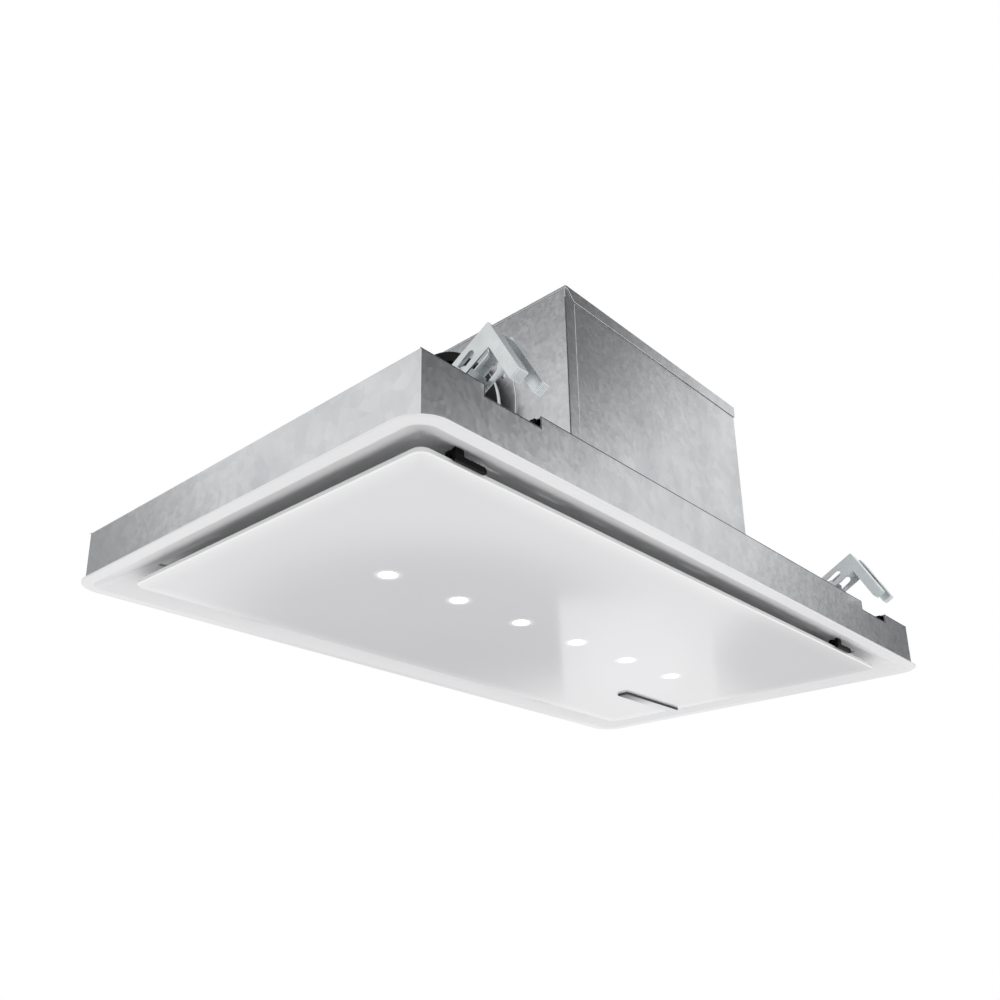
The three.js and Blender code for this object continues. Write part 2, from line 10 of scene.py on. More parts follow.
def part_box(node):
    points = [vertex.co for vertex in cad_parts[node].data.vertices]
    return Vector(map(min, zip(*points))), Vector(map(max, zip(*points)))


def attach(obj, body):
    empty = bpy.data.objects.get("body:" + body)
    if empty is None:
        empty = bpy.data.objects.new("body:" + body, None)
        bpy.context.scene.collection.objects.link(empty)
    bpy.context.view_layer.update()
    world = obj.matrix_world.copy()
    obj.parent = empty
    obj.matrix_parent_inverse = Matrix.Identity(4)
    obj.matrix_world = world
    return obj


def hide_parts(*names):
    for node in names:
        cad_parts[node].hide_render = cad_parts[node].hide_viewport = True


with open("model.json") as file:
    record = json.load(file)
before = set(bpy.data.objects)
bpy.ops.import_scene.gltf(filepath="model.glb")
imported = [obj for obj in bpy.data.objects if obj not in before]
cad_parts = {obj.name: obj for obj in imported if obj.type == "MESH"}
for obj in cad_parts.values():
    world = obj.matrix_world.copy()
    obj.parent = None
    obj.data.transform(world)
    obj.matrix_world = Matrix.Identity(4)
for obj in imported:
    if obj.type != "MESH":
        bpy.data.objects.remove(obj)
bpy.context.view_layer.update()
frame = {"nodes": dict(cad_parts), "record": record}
record = frame["record"]
nodes = frame["nodes"]
slotOf = {row["node"]: row["material_slot"] for row in record["subparts"]}
bodyOf = {node: body for body, members in record["behaviour"]["bodies"].items() for node in members}
mm = 0.001
corners = ("near_left", "near_right", "far_left", "far_right")
print("frame loaded:", len(nodes), "parts")


def makeCamera():
    # It stands below the hood and to its left, as in the photograph. Angles are degrees, the clip is metres.
    camera = {"place": (-889.1, -706.5, -376.6), "turn": (110.12, 0.32, -46.83), "lens": 37.64, "sensor": 36,
              "shift": (0.03, 0.10), "clip": (0.02, 60)}
    data = bpy.data.cameras.new("photoCamera")
    data.lens = camera["lens"]
    data.sensor_width = camera["sensor"]
    data.shift_x, data.shift_y = camera["shift"]
    data.clip_start, data.clip_end = camera["clip"]
    view = bpy.data.objects.new("photoCamera", data)
    view.location = Vector(camera["place"]) * mm
    view.rotation_euler = [math.radians(angle) for angle in camera["turn"]]
    bpy.context.collection.objects.link(view)
    bpy.context.scene.camera = view


makeCamera()


def linearColour(hexText):
    parts = [int(hexText[i:i + 2], 16) / 255 for i in (1, 3, 5)]
    return [c / 12.92 if c <= 0.04045 else ((c + 0.055) / 1.055) ** 2.4 for c in parts] + [1.0]


def addNode(tree, kind, settings=None, links=None):
    # Keys are names of sockets or settings, or a socket's number where several share a name: in a Mix of
    # colours, 6 and 7 are the two colours and output 2 is the blend.
    node = tree.nodes.new("ShaderNode" + kind)
    for key, value in (settings or {}).items():
        if isinstance(key, int) or key in node.inputs:
            node.inputs[key].default_value = value
        else:
            setattr(node, key, value)
    for key, source in (links or {}).items():
        tree.links.new(source, node.inputs[key])
    return node


def newMaterial(name):
    # A material with nothing in it yet but the piece's own coordinates, on which its patterns lie.
    material = bpy.data.materials.new(name)
    material.use_nodes = True
    tree = material.node_tree
    tree.nodes.clear()
    return material, tree, addNode(tree, "TexCoord").outputs["Object"]


def shade(material, settings, links, kind="BsdfPrincipled"):
    shader = addNode(material.node_tree, kind, settings, links)
    addNode(material.node_tree, "OutputMaterial", links={"Surface": shader.outputs[0]})
    return material


def scaleOf(size):
    return 1000 / size  # of a texture, from the size of its grain


def galvanisedSheet():
    # Hot-dip galvanised sheet: zinc freezes in flat flowers, so soft cells a fingertip wide differ in tone
    # and gloss.
    look = {"light": "#dcdddf", "dark": "#bfc1c4", "gloss": (0.34, 0.27), "flower": 11, "flowerShare": 0.28,
            "cloud": 60, "cloudShare": (0.15, 0.6), "streak": 9, "streakShare": 0.16, "stretch": 0.12,
            "grit": 1.4, "gritDepth": 0.012, "fleck": 4.5, "lean": 0.03}
    material, tree, place = newMaterial("galvanisedSheet")
    flowers = addNode(tree, "TexVoronoi", {"Scale": scaleOf(look["flower"])}, {"Vector": place})
    flowerTone = addNode(tree, "SeparateColor", links={0: flowers.outputs["Color"]}).outputs[0]
    clouds = addNode(tree, "TexNoise", {"Scale": scaleOf(look["cloud"]), "Detail": 3.0}, {"Vector": place})
    stretched = addNode(tree, "Mapping", {"Scale": (1, 1, look["stretch"])}, {"Vector": place})
    streaks = addNode(tree, "TexNoise", {"Scale": scaleOf(look["streak"]), "Detail": 2.0},
                      {"Vector": stretched.outputs[0]})
    low, high = look["cloudShare"]
    tone = addNode(tree, "MapRange", {"From Min": 0.3, "From Max": 0.7, "To Min": low, "To Max": high},
                   {"Value": clouds.outputs[0]}).outputs[0]
    for share, part in ((look["flowerShare"], flowerTone), (look["streakShare"], streaks.outputs[0])):
        tone = addNode(tree, "Math", {"operation": "MULTIPLY_ADD", 1: share}, {0: part, 2: tone}).outputs[0]
    colour = addNode(tree, "Mix", {"data_type": "RGBA", 6: linearColour(look["dark"]),
                                   7: linearColour(look["light"])}, {0: tone}).outputs[2]
    low, high = look["gloss"]
    gloss = addNode(tree, "MapRange", {"To Min": low, "To Max": high}, {"Value": tone}).outputs[0]
    grit = addNode(tree, "TexNoise", {"Scale": scaleOf(look["grit"]), "Detail": 2.0}, {"Vector": place})
    relief = addNode(tree, "Bump", {"Strength": 1.0, "Distance": look["gritDepth"] * mm},
                     {"Height": grit.outputs[0]})
    # Each flower freezes at its own slight lean, which shows as flecks where the light changes quickly.
    facets = addNode(tree, "TexVoronoi", {"Scale": scaleOf(look["fleck"])}, {"Vector": place})
    lean = addNode(tree, "VectorMath", {"operation": "SUBTRACT", 1: (0.5, 0.5, 0.5)},
                   {0: facets.outputs["Color"]}).outputs[0]
    lean = addNode(tree, "VectorMath", {"operation": "MULTIPLY_ADD", 1: (look["lean"],) * 3},
                   {0: lean, 2: relief.outputs["Normal"]}).outputs[0]
    lean = addNode(tree, "VectorMath", {"operation": "NORMALIZE"}, {0: lean}).outputs[0]
    return shade(material, {"Metallic": 1.0}, {"Base Color": colour, "Roughness": gloss, "Normal": lean})


def zincPlate():
    # Bright zinc plate on pressed steel: glossier than the sheet, with a cold pale passivation.
    look = {"light": "#e6eaeb", "dark": "#c9cecf", "cloud": 22, "gloss": (0.34, 0.22), "grit": 0.9,
            "gritDepth": 0.008}
    material, tree, place = newMaterial("brightZincPlate")
    clouds = addNode(tree, "TexNoise", {"Scale": scaleOf(look["cloud"]), "Detail": 3.0},
                     {"Vector": place}).outputs[0]
    colour = addNode(tree, "Mix", {"data_type": "RGBA", 6: linearColour(look["dark"]),
                                   7: linearColour(look["light"])}, {0: clouds}).outputs[2]
    low, high = look["gloss"]
    gloss = addNode(tree, "MapRange", {"From Min": 0.3, "From Max": 0.7, "To Min": low, "To Max": high},
                    {"Value": clouds}).outputs[0]
    grit = addNode(tree, "TexNoise", {"Scale": scaleOf(look["grit"]), "Detail": 1.0}, {"Vector": place})
    relief = addNode(tree, "Bump", {"Strength": 1.0, "Distance": look["gritDepth"] * mm},
                     {"Height": grit.outputs[0]})
    return shade(material, {"Metallic": 0.92},
                 {"Base Color": colour, "Roughness": gloss, "Normal": relief.outputs["Normal"]})


def powderCoat():
    # Powder-coated steel: baked polyester flows into a low orange peel, so its gloss is soft and even.
    look = {"light": "#ededee", "dark": "#e8e8ea", "cloud": 120, "peel": 2.2, "peelDepth": 0.01}
    material, tree, place = newMaterial("whitePowderCoat")
    clouds = addNode(tree, "TexNoise", {"Scale": scaleOf(look["cloud"])}, {"Vector": place})
    colour = addNode(tree, "Mix", {"data_type": "RGBA", 6: linearColour(look["dark"]),
                                   7: linearColour(look["light"])}, {0: clouds.outputs[0]}).outputs[2]
    peel = addNode(tree, "TexNoise", {"Scale": scaleOf(look["peel"]), "Detail": 1.0}, {"Vector": place})
    relief = addNode(tree, "Bump", {"Strength": 1.0, "Distance": look["peelDepth"] * mm},
                     {"Height": peel.outputs[0]})
    return shade(material, {"Roughness": 0.34, "IOR": 1.5, "Coat Weight": 0.3, "Coat Roughness": 0.14},
                 {"Base Color": colour, "Normal": relief.outputs["Normal"]})


def backPaintedGlass():
    # Float glass painted on its back: the colour lies under 6 mm of clear, smooth gloss.
    look = {"light": "#e1e1e3", "dark": "#dcdcdf", "border": "#eeeeef", "edge": "#e6e8e7",
            "chamfer": "#ffffff", "glowColour": "#fffdf8", "cloud": 260, "half": (406, 206), "fade": 26,
            "fadePower": 1.8, "edgeLevel": 0.15, "faceLevel": 0.6, "slant": 0.7, "slantWithin": 0.17,
            "halo": 10, "haloPower": 3.0, "glow": 0.38}
    material, tree, place = newMaterial("backPaintedGlass")
    clouds = addNode(tree, "TexNoise", {"Scale": scaleOf(look["cloud"])}, {"Vector": place})
    body = addNode(tree, "Mix", {"data_type": "RGBA", 6: linearColour(look["dark"]),
                                 7: linearColour(look["light"])}, {0: clouds.outputs[0]}).outputs[2]
    # Painted light: the paint is coloured lighter towards the rim, where light also enters through the ground
    # edge.
    inner = [(half - look["fade"]) * mm for half in look["half"]]
    beyond = addNode(tree, "VectorMath", {"operation": "ABSOLUTE"}, {0: place}).outputs[0]
    beyond = addNode(tree, "VectorMath", {"operation": "SUBTRACT", 1: (*inner, 0)}, {0: beyond}).outputs[0]
    beyond = addNode(tree, "SeparateXYZ", links={0: beyond}).outputs
    beyond = addNode(tree, "Math", {"operation": "MAXIMUM"}, {0: beyond[0], 1: beyond[1]}).outputs[0]
    rim = addNode(tree, "MapRange", {"From Max": look["fade"] * mm}, {"Value": beyond}).outputs[0]
    rim = addNode(tree, "Math", {"operation": "POWER", 1: look["fadePower"]}, {0: rim}).outputs[0]
    face = addNode(tree, "Mix", {"data_type": "RGBA", 7: linearColour(look["border"])},
                   {0: rim, 6: body}).outputs[2]
    # The faces, the ground edge and the chamfer between them are told apart by how level they lie; the
    # chamfer is coloured white as a painted highlight.
    level = addNode(tree, "SeparateXYZ", links={0: place.node.outputs["Normal"]}).outputs[2]
    level = addNode(tree, "Math", {"operation": "ABSOLUTE"}, {0: level}).outputs[0]
    flatness = addNode(tree, "MapRange", {"From Min": look["edgeLevel"], "From Max": look["faceLevel"]},
                       {"Value": level}).outputs[0]
    slant = addNode(tree, "Math", {"operation": "COMPARE", 1: look["slant"], 2: look["slantWithin"]},
                    {0: level}).outputs[0]
    colour = addNode(tree, "Mix", {"data_type": "RGBA", 6: linearColour(look["edge"])},
                     {0: flatness, 7: face}).outputs[2]
    colour = addNode(tree, "Mix", {"data_type": "RGBA", 7: linearColour(look["chamfer"])},
                     {0: slant, 6: colour}).outputs[2]
    # Painted glow: round each lamp the glass gives off light of its own, as if the lamp's light spread inside
    # it, and it dies away within a lamp's width.
    parts = addNode(tree, "SeparateXYZ", links={0: place}).outputs
    halfPitch = lamps["pitch"] * mm / 2
    fold = addNode(tree, "Math", {"operation": "PINGPONG", 1: halfPitch}, {0: parts[0]})
    fromLamp = addNode(tree, "Math", {"operation": "SUBTRACT", 0: halfPitch}, {1: fold.outputs[0]})
    flat = addNode(tree, "CombineXYZ", links={0: fromLamp.outputs[0], 1: parts[1]})
    distance = addNode(tree, "VectorMath", {"operation": "LENGTH"}, {0: flat.outputs[0]}).outputs["Value"]
    hole = lamps["hole"] * mm
    near = addNode(tree, "MapRange", {"From Min": hole, "From Max": hole + look["halo"] * mm, "To Min": 1.0,
                                      "To Max": 0.0}, {"Value": distance}).outputs[0]
    soft = addNode(tree, "Math", {"operation": "POWER", 1: look["haloPower"]}, {0: near}).outputs[0]
    along = addNode(tree, "Math", {"operation": "ABSOLUTE"}, {0: parts[0]}).outputs[0]
    inRow = addNode(tree, "Math", {"operation": "LESS_THAN", 1: lamps["count"] * halfPitch}, {0: along})
    glow = addNode(tree, "Math", {"operation": "MULTIPLY"}, {0: soft, 1: inRow.outputs[0]}).outputs[0]
    glow = addNode(tree, "MapRange", {"To Max": look["glow"]}, {"Value": glow}).outputs[0]
    return shade(material, {"Roughness": 0.5, "IOR": 1.5, "Coat Weight": 1.0, "Coat Roughness": 0.09,
                            "Coat IOR": 1.52, "Emission Color": linearColour(look["glowColour"])},
                 {"Base Color": colour, "Emission Strength": glow})


def mouldedPlastic(name, light, dark, roughness, gloss):
    # Moulded ABS: the tool's fine spark grain breaks the gloss.
    look = {"cloud": 30, "grain": 0.8, "grainDepth": 0.02}
    material, tree, place = newMaterial(name)
    clouds = addNode(tree, "TexNoise", {"Scale": scaleOf(look["cloud"])}, {"Vector": place})
    colour = addNode(tree, "Mix", {"data_type": "RGBA", 6: linearColour(dark), 7: linearColour(light)},
                     {0: clouds.outputs[0]}).outputs[2]
    grain = addNode(tree, "TexVoronoi", {"Scale": scaleOf(look["grain"])}, {"Vector": place})
    relief = addNode(tree, "Bump", {"Strength": 1.0, "Distance": look["grainDepth"] * mm},
                     {"Height": grain.outputs["Distance"]})
    return shade(material, {"Roughness": roughness, "IOR": 1.53, "Specular IOR Level": gloss},
                 {"Base Color": colour, "Normal": relief.outputs["Normal"]})


def anodisedAluminium():
    # Anodised aluminium strip: rolling leaves faint lines along it, and the oxide softens the shine.
    look = {"light": "#d4d6d8", "dark": "#b9bbbe", "line": 0.9, "stretch": 0.03, "lineDepth": 0.006}
    material, tree, place = newMaterial("anodisedAluminium")
    drawn = addNode(tree, "Mapping", {"Scale": (look["stretch"], 1, 1)}, {"Vector": place})
    lines = addNode(tree, "TexNoise", {"Scale": scaleOf(look["line"]), "Detail": 2.0},
                    {"Vector": drawn.outputs[0]}).outputs[0]
    colour = addNode(tree, "Mix", {"data_type": "RGBA", 6: linearColour(look["dark"]),
                                   7: linearColour(look["light"])}, {0: lines}).outputs[2]
    relief = addNode(tree, "Bump", {"Strength": 1.0, "Distance": look["lineDepth"] * mm}, {"Height": lines})
    return shade(material, {"Metallic": 1.0, "Roughness": 0.36},
                 {"Base Color": colour, "Normal": relief.outputs["Normal"]})


def blastedCasting():
    # Die-cast aluminium, shot-blasted: tiny dents all over make it matt and slightly sparkling.
    look = {"light": "#b9bbbd", "dark": "#93969a", "dent": 1.1, "dentDepth": 0.05}
    material, tree, place = newMaterial("blastedCastAluminium")
    dents = addNode(tree, "TexVoronoi", {"Scale": scaleOf(look["dent"])},
                    {"Vector": place}).outputs["Distance"]
    colour = addNode(tree, "Mix", {"data_type": "RGBA", 6: linearColour(look["dark"]),
                                   7: linearColour(look["light"])}, {0: dents}).outputs[2]
    relief = addNode(tree, "Bump", {"Strength": 1.0, "Distance": look["dentDepth"] * mm}, {"Height": dents})
    return shade(material, {"Metallic": 0.9, "Roughness": 0.5},
                 {"Base Color": colour, "Normal": relief.outputs["Normal"]})


def frostedLens():
    # Frosted polycarbonate with the lamp alight behind it: an even disc, slightly mottled by the frost.
    look = {"body": "#f7f7fa", "light": "#fffdf8", "glow": (4.5, 5.0), "frost": 0.7, "frostDepth": 0.02}
    material, tree, place = newMaterial("frostedLens")
    frost = addNode(tree, "TexNoise", {"Scale": scaleOf(look["frost"])}, {"Vector": place})
    low, high = look["glow"]
    glow = addNode(tree, "MapRange", {"To Min": low, "To Max": high}, {"Value": frost.outputs[0]})
    relief = addNode(tree, "Bump", {"Strength": 1.0, "Distance": look["frostDepth"] * mm},
                     {"Height": frost.outputs[0]})
    return shade(material, {"Roughness": 0.4, "IOR": 1.58, "Base Color": linearColour(look["body"]),
                            "Emission Color": linearColour(look["light"])},
                 {"Emission Strength": glow.outputs[0], "Normal": relief.outputs["Normal"]})


def lacqueredBoard():
    # Epoxy glass board under green lacquer: copper tracks show through as slightly lighter bands.
    look = {"light": "#2f7a4a", "dark": "#1f5c37", "track": 11.31}
    repeat = math.pi / 10  # of the bands of a Wave texture at a scale of 1
    material, tree, place = newMaterial("lacqueredBoard")
    tracks = addNode(tree, "TexWave", {"Scale": scaleOf(look["track"]) * repeat, "Distortion": 1.0},
                     {"Vector": place})
    colour = addNode(tree, "Mix", {"data_type": "RGBA", 6: linearColour(look["dark"]),
                                   7: linearColour(look["light"])}, {0: tracks.outputs[1]}).outputs[2]
    return shade(material, {"Roughness": 0.3, "IOR": 1.5}, {"Base Color": colour})


def smokedAcrylic():
    # Touch face of the strip: gloss acrylic, dark grey at one end and fading to pale along the strip.
    look = {"pale": "#dcdddf", "smoke": "#3a3b3d", "start": 280, "clear": 345}
    material, tree, place = newMaterial("smokedAcrylic")
    along = addNode(tree, "SeparateXYZ", links={0: place}).outputs[0]
    # From start to clear along the strip the colour fades from the dark end to pale.
    window = addNode(tree, "MapRange", {"From Min": look["start"] * mm, "From Max": look["clear"] * mm},
                     {"Value": along}).outputs[0]
    colour = addNode(tree, "Mix", {"data_type": "RGBA", 6: linearColour(look["smoke"]),
                                   7: linearColour(look["pale"])}, {0: window}).outputs[2]
    return shade(material, {"Roughness": 0.2, "IOR": 1.49, "Specular IOR Level": 0.2}, {"Base Color": colour})


def bareSteel():
    # Painted shadow: a dull dark grey with a faint grain, for the thin lines of shade along the housing's
    # edges.
    look = {"light": "#5b5c5f", "dark": "#47484b", "grain": 2.5}
    material, tree, place = newMaterial("bareSteel")
    grain = addNode(tree, "TexNoise", {"Scale": scaleOf(look["grain"])}, {"Vector": place})
    colour = addNode(tree, "Mix", {"data_type": "RGBA", 6: linearColour(look["dark"]),
                                   7: linearColour(look["light"])}, {0: grain.outputs[0]}).outputs[2]
    return shade(material, {"Metallic": 0.4, "Roughness": 0.55}, {"Base Color": colour})


# The row of lamps: how many and how far apart, and the radii of a hole in the glass, a lens and its flange.
lamps = {"count": 6, "pitch": 100, "hole": 9.3, "lens": 9.0, "flange": 13.0}
finishes = {
    "galvanised_steel": galvanisedSheet(),
    "zinc_plated_steel": zincPlate(),
    "white_enamelled_steel": powderCoat(),
    "white_glass": backPaintedGlass(),
    "black_plastic": mouldedPlastic("blackAbs", "#0e0e10", "#0a0a0b", 0.5, 0.1),
    "grey_plastic": mouldedPlastic("greyAbs", "#8e9194", "#84878a", 0.5, 0.35),
    "filter_aluminium": anodisedAluminium(),
    "frosted_lens": frostedLens(),
    "circuit_board": lacqueredBoard(),
    "cast_aluminium": blastedCasting(),
}

for name, node in nodes.items():
    node.data.materials.clear()
    node.data.materials.append(finishes[slotOf[name]])
print("materials made:", len(finishes))


# Corners this near are merged, and so are faces that lie level to this many degrees.
weld = {"piece": 0.001, "copy": 0.002, "level": 0.6}


def finishPiece(shape, name, slot, body, stands=(), smooth=35, material=None):
    bmesh.ops.remove_doubles(shape, verts=shape.verts, dist=weld["piece"] * mm)
    bmesh.ops.recalc_face_normals(shape, faces=shape.faces)
    mesh = bpy.data.meshes.new(name)
    shape.to_mesh(mesh)
    shape.free()
    mesh.shade_smooth()
    mesh.set_sharp_from_angle(angle=math.radians(smooth))
    mesh.materials.append(material or finishes[slot])
    piece = bpy.data.objects.new(name, mesh)
    bpy.context.collection.objects.link(piece)
    piece.modifiers.new("weightedNormal", "WEIGHTED_NORMAL").keep_sharp = True
    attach(piece, body)
    if stands:
        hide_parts(*stands)


def camel(name):
    first, *others = name.split("_")
    return first + "".join(word.capitalize() for word in others)


def replacePart(shape, name, smooth=35, material=None):
    # The finished shape shows in place of the part of that name.
    finishPiece(shape, camel(name), slotOf[name], bodyOf[name], [name], smooth, material)


def isSharp(edge, angle=32):
    return len(edge.link_faces) == 2 and edge.calc_face_angle(0) > math.radians(angle)


def roundEdges(shape, edges, radius, segments=2):
    bmesh.ops.bevel(shape, geom=edges, offset=radius * mm, offset_type="OFFSET", segments=segments,
                    profile=0.5, affect="EDGES", clamp_overlap=True, material=-1)


def roundSharpEdges(shape, radius, segments=2):
    roundEdges(shape, [edge for edge in shape.edges if isSharp(edge)], radius, segments)


def cutAlong(shape, point, way, clear=False):
    bmesh.ops.bisect_plane(shape, geom=shape.verts[:] + shape.edges[:] + shape.faces[:], plane_co=point,
                           plane_no=way, clear_outer=clear)


def closeHoles(shape):
    bmesh.ops.holes_fill(shape, edges=[edge for edge in shape.edges if edge.is_boundary])


def copyOfPart(name):
    # The part's own triangles, merged into the flat faces that they make up.
    shape = bmesh.new()
    shape.from_mesh(nodes[name].data)
    bmesh.ops.remove_doubles(shape, verts=shape.verts, dist=weld["copy"] * mm)
    bmesh.ops.dissolve_limit(shape, angle_limit=math.radians(weld["level"]), verts=shape.verts,
                             edges=shape.edges, use_dissolve_boundaries=False)
    return shape


def dressPart(name, radius, segments=2, material=None):
    shape = copyOfPart(name)
    roundSharpEdges(shape, radius, segments)
    replacePart(shape, name, material=material)


def loopOfCircle(shape, radius, centre, steps, turn=0.0):
    place = Matrix.Translation(centre) @ Matrix.Rotation(turn, 4, "Z")
    made = bmesh.ops.create_circle(shape, segments=steps, radius=radius, matrix=place)["verts"]
    return made, list({edge for vert in made for edge in vert.link_edges})


def sweepRing(shape, length, width, radius, section, base, steps=12, least=2):
    # Carries a section of (inset, height) round a rounded rectangle: each ring is extruded from the last
    # one. A corner has so many steps, and its radius shrinks with the inset as far as the least one.
    verts, edges = loopOfCircle(shape, 1, (0, 0, 0), 4 * steps, math.pi / (4 * steps))
    ways = {vert: vert.co.normalized() for vert in verts}
    rings = []
    for inset, height in section:
        if rings:
            made = bmesh.ops.extrude_edge_only(shape, edges=edges)["geom"]
            fresh = [item for item in made if isinstance(item, bmesh.types.BMVert)]
            ways = {vert: next(ways[edge.other_vert(vert)] for edge in vert.link_edges
                               if edge.other_vert(vert) in ways) for vert in fresh}
            edges = [item for item in made if isinstance(item, bmesh.types.BMEdge)
                     and all(vert in ways for vert in item.verts)]
        rounded = max(radius - inset, least) * mm
        acrossX = length / 2 - inset * mm - rounded
        acrossY = width / 2 - inset * mm - rounded
        for vert, way in ways.items():
            vert.co = (math.copysign(acrossX, way.x) + way.x * rounded,
                       math.copysign(acrossY, way.y) + way.y * rounded, base + height * mm)
        rings.append(edges)
    return rings


def spun(profile, steps, axis="Z", place=(0, 0, 0)):
    # A profile of (radius, height) in millimetres, turned round Z in so many steps and laid along the axis.
    shape = bmesh.new()
    verts = [shape.verts.new((radius * mm, 0, height * mm)) for radius, height in profile]
    edges = [shape.edges.new(pair) for pair in zip(verts, verts[1:])]
    bmesh.ops.spin(shape, geom=verts + edges, cent=(0, 0, 0), axis=(0, 0, 1), dvec=(0, 0, 0),
                   angle=2 * math.pi, steps=steps, use_merge=True, use_duplicate=False)
    turns = {"Z": Matrix.Identity(4), "-X": Matrix.Rotation(-math.pi / 2, 4, "Y"),
             "X": Matrix.Rotation(math.pi / 2, 4, "Y"), "Y": Matrix.Rotation(-math.pi / 2, 4, "X")}
    shape.transform(Matrix.Translation(place) @ turns[axis])
    return shape


def joinShapes(target, *others):
    for other in others:
        mesh = bpy.data.meshes.new("joined")
        other.to_mesh(mesh)
        other.free()
        target.from_mesh(mesh)
        bpy.data.meshes.remove(mesh)
    return target


def slab(low, high, radius=0.0, segments=2):
    # A block between two opposite corners, in metres, with its edges rounded.
    shape = bmesh.new()
    low, high = Vector(low), Vector(high)
    place = Matrix.Translation((low + high) / 2) @ Matrix.Diagonal((*(high - low), 1))
    bmesh.ops.create_cube(shape, size=1.0, matrix=place)
    if radius:
        roundSharpEdges(shape, radius, segments)
    return shape


def makeCeilingFrame():
    # White frame: a flat band with a cove that climbs inwards to a lip. Each ease is the middle point of a
    # rounding, and the values that start with back are for the upper side of the sheet.
    rim = {"radius": 30, "edge": 0.8, "fold": 0.7, "band": 12, "coveRun": 34, "coveRise": 18, "sheet": 1.5,
           "ease": 0.3, "foldEase": 0.08, "bendRun": 7, "bendRise": 3.2, "lip": 60, "lipRise": 23,
           "backBendRun": 6.4, "backBendRise": 4.6, "backCoveRun": 3.8, "backCoveRise": 3.1,
           "backBandRun": 1.6, "backEdge": 0.6, "backDrop": 0.5}
    low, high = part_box("ceiling_frame")
    edge, fold, band, rise, ease = (rim[key] for key in ("edge", "fold", "band", "coveRise", "ease"))
    slope = math.atan2(rise, rim["coveRun"])
    climb = fold * rise / rim["coveRun"]
    run = band + rim["coveRun"]
    top = -low.z / mm  # the ceiling plane, above the underside of the band
    backX = rim["sheet"] * math.sin(slope)
    backZ = rim["sheet"] * math.cos(slope)
    underside = [(0, edge), (edge * ease, edge * ease), (edge, 0), (band - fold, 0),
                 (band - fold * ease, fold * rim["foldEase"]), (band + fold, climb),
                 (run - fold, rise - climb), (run + rim["bendRun"], rise + rim["bendRise"]),
                 (rim["lip"], rim["lipRise"])]
    upper = [(rim["lip"], rim["lipRise"] + rim["sheet"]),
             (run + rim["backBendRun"], rise + rim["backBendRise"]), (run - backX, rise + backZ),
             (band + rim["backCoveRun"], rim["backCoveRise"]), (band + rim["backBandRun"], top),
             (rim["backEdge"], top), (0, top - rim["backDrop"])]
    shape = bmesh.new()
    sweepRing(shape, (high - low).x, (high - low).y, rim["radius"], underside + upper + underside[:1], low.z)
    replacePart(shape, "ceiling_frame", smooth=24)


def lampPlaces():
    return [(i - (lamps["count"] - 1) / 2) * lamps["pitch"] * mm for i in range(lamps["count"])]


def makeGlassPanel():
    # Glass with a ground edge. Its two faces are filled inside the rim, round the holes for the lamps.
    glass = {"radius": 11, "ground": 1.3, "arris": 0.3, "ease": 0.06, "inner": 30, "holeSteps": 48}
    low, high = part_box("glass_panel")
    thick = (high - low).z / mm
    ground, ease, inner = glass["ground"], glass["ease"], glass["inner"]
    flat = ground + glass["arris"]
    section = [(inner, 0), (flat, 0), (ground, ease), (ease, ground), (0, flat), (0, thick - flat),
               (ease, thick - ground), (ground, thick - ease), (flat, thick), (inner, thick)]
    shape = bmesh.new()
    rings = sweepRing(shape, (high - low).x, (high - low).y, glass["radius"], section, low.z)
    for level, rim in ((low.z, rings[0]), (high.z, rings[-1])):
        holes = [loopOfCircle(shape, lamps["hole"] * mm, (x, 0, level), glass["holeSteps"])[1]
                 for x in lampPlaces()]
        bmesh.ops.triangle_fill(shape, edges=rim + sum(holes, []), use_beauty=True)
    for x in lampPlaces():
        ring = [edge for edge in shape.edges if len(edge.link_faces) == 1
                and (edge.verts[0].co.xy - Vector((x, 0))).length < (lamps["hole"] + 1) * mm]
        bmesh.ops.bridge_loops(shape, edges=ring)
    replacePart(shape, "glass_panel", smooth=20)


def makeLamps():
    # A shallow dome that fills the hole in the glass, on a flange behind it.
    lens = {"dome": [(0, -0.25), (4, -0.15), (7, 0.05)], "rim": 0.3, "rimRadius": 0.5, "flangeThick": 2.4,
            "flangeEdge": 0.4, "steps": 48}
    low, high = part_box("led_lens_1")
    top = (high.z - low.z) / mm
    shoulder = top - lens["flangeThick"]
    profile = lens["dome"] + [(lamps["lens"] - lens["rimRadius"], lens["rim"]),
                              (lamps["lens"], lens["rim"] + lens["rimRadius"]), (lamps["lens"], shoulder),
                              (lamps["flange"] - lens["flangeEdge"], shoulder),
                              (lamps["flange"], shoulder + lens["flangeEdge"]), (lamps["flange"], top),
                              (0, top)]
    for i, x in enumerate(lampPlaces()):
        shape = spun(profile, lens["steps"], place=(x, 0, low.z))
        finishPiece(shape, f"lampLens{i + 1}", "frosted_lens", "glass_door", [f"led_lens_{i + 1}"])


def makeControlStrip():
    # A slim moulded bar, with its touch face let in and a little proud.
    strip = {"edge": 0.35, "inset": 0.9, "proud": 0.25, "deep": 0.4, "faceEdge": 0.2}
    moulding = mouldedPlastic("smokeAbs", "#4a4b4e", "#414245", 0.5, 0.2)
    dressPart("control_strip", strip["edge"], segments=3, material=moulding)
    low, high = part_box("control_strip")
    inset = strip["inset"] * mm
    face = slab((low.x + inset, low.y + inset, low.z - strip["proud"] * mm),
                (high.x - inset, high.y - inset, low.z + strip["deep"] * mm), strip["faceEdge"])
    finishPiece(face, "stripFace", "black_plastic", "glass_door", material=smokedAcrylic())


makeCeilingFrame()
makeGlassPanel()
makeLamps()
makeControlStrip()
print("frame and panel made")


def makeSheetMetal():
    # Folded sheet: how far the edges of each piece are rounded.
    rounding = {"housing_shell": 0.9, "blower_wall_duct": 0.4, "blower_wall_wrap": 0.7, "blower_lid": 0.5}
    for name, radius in rounding.items():
        dressPart(name, radius, segments=3)


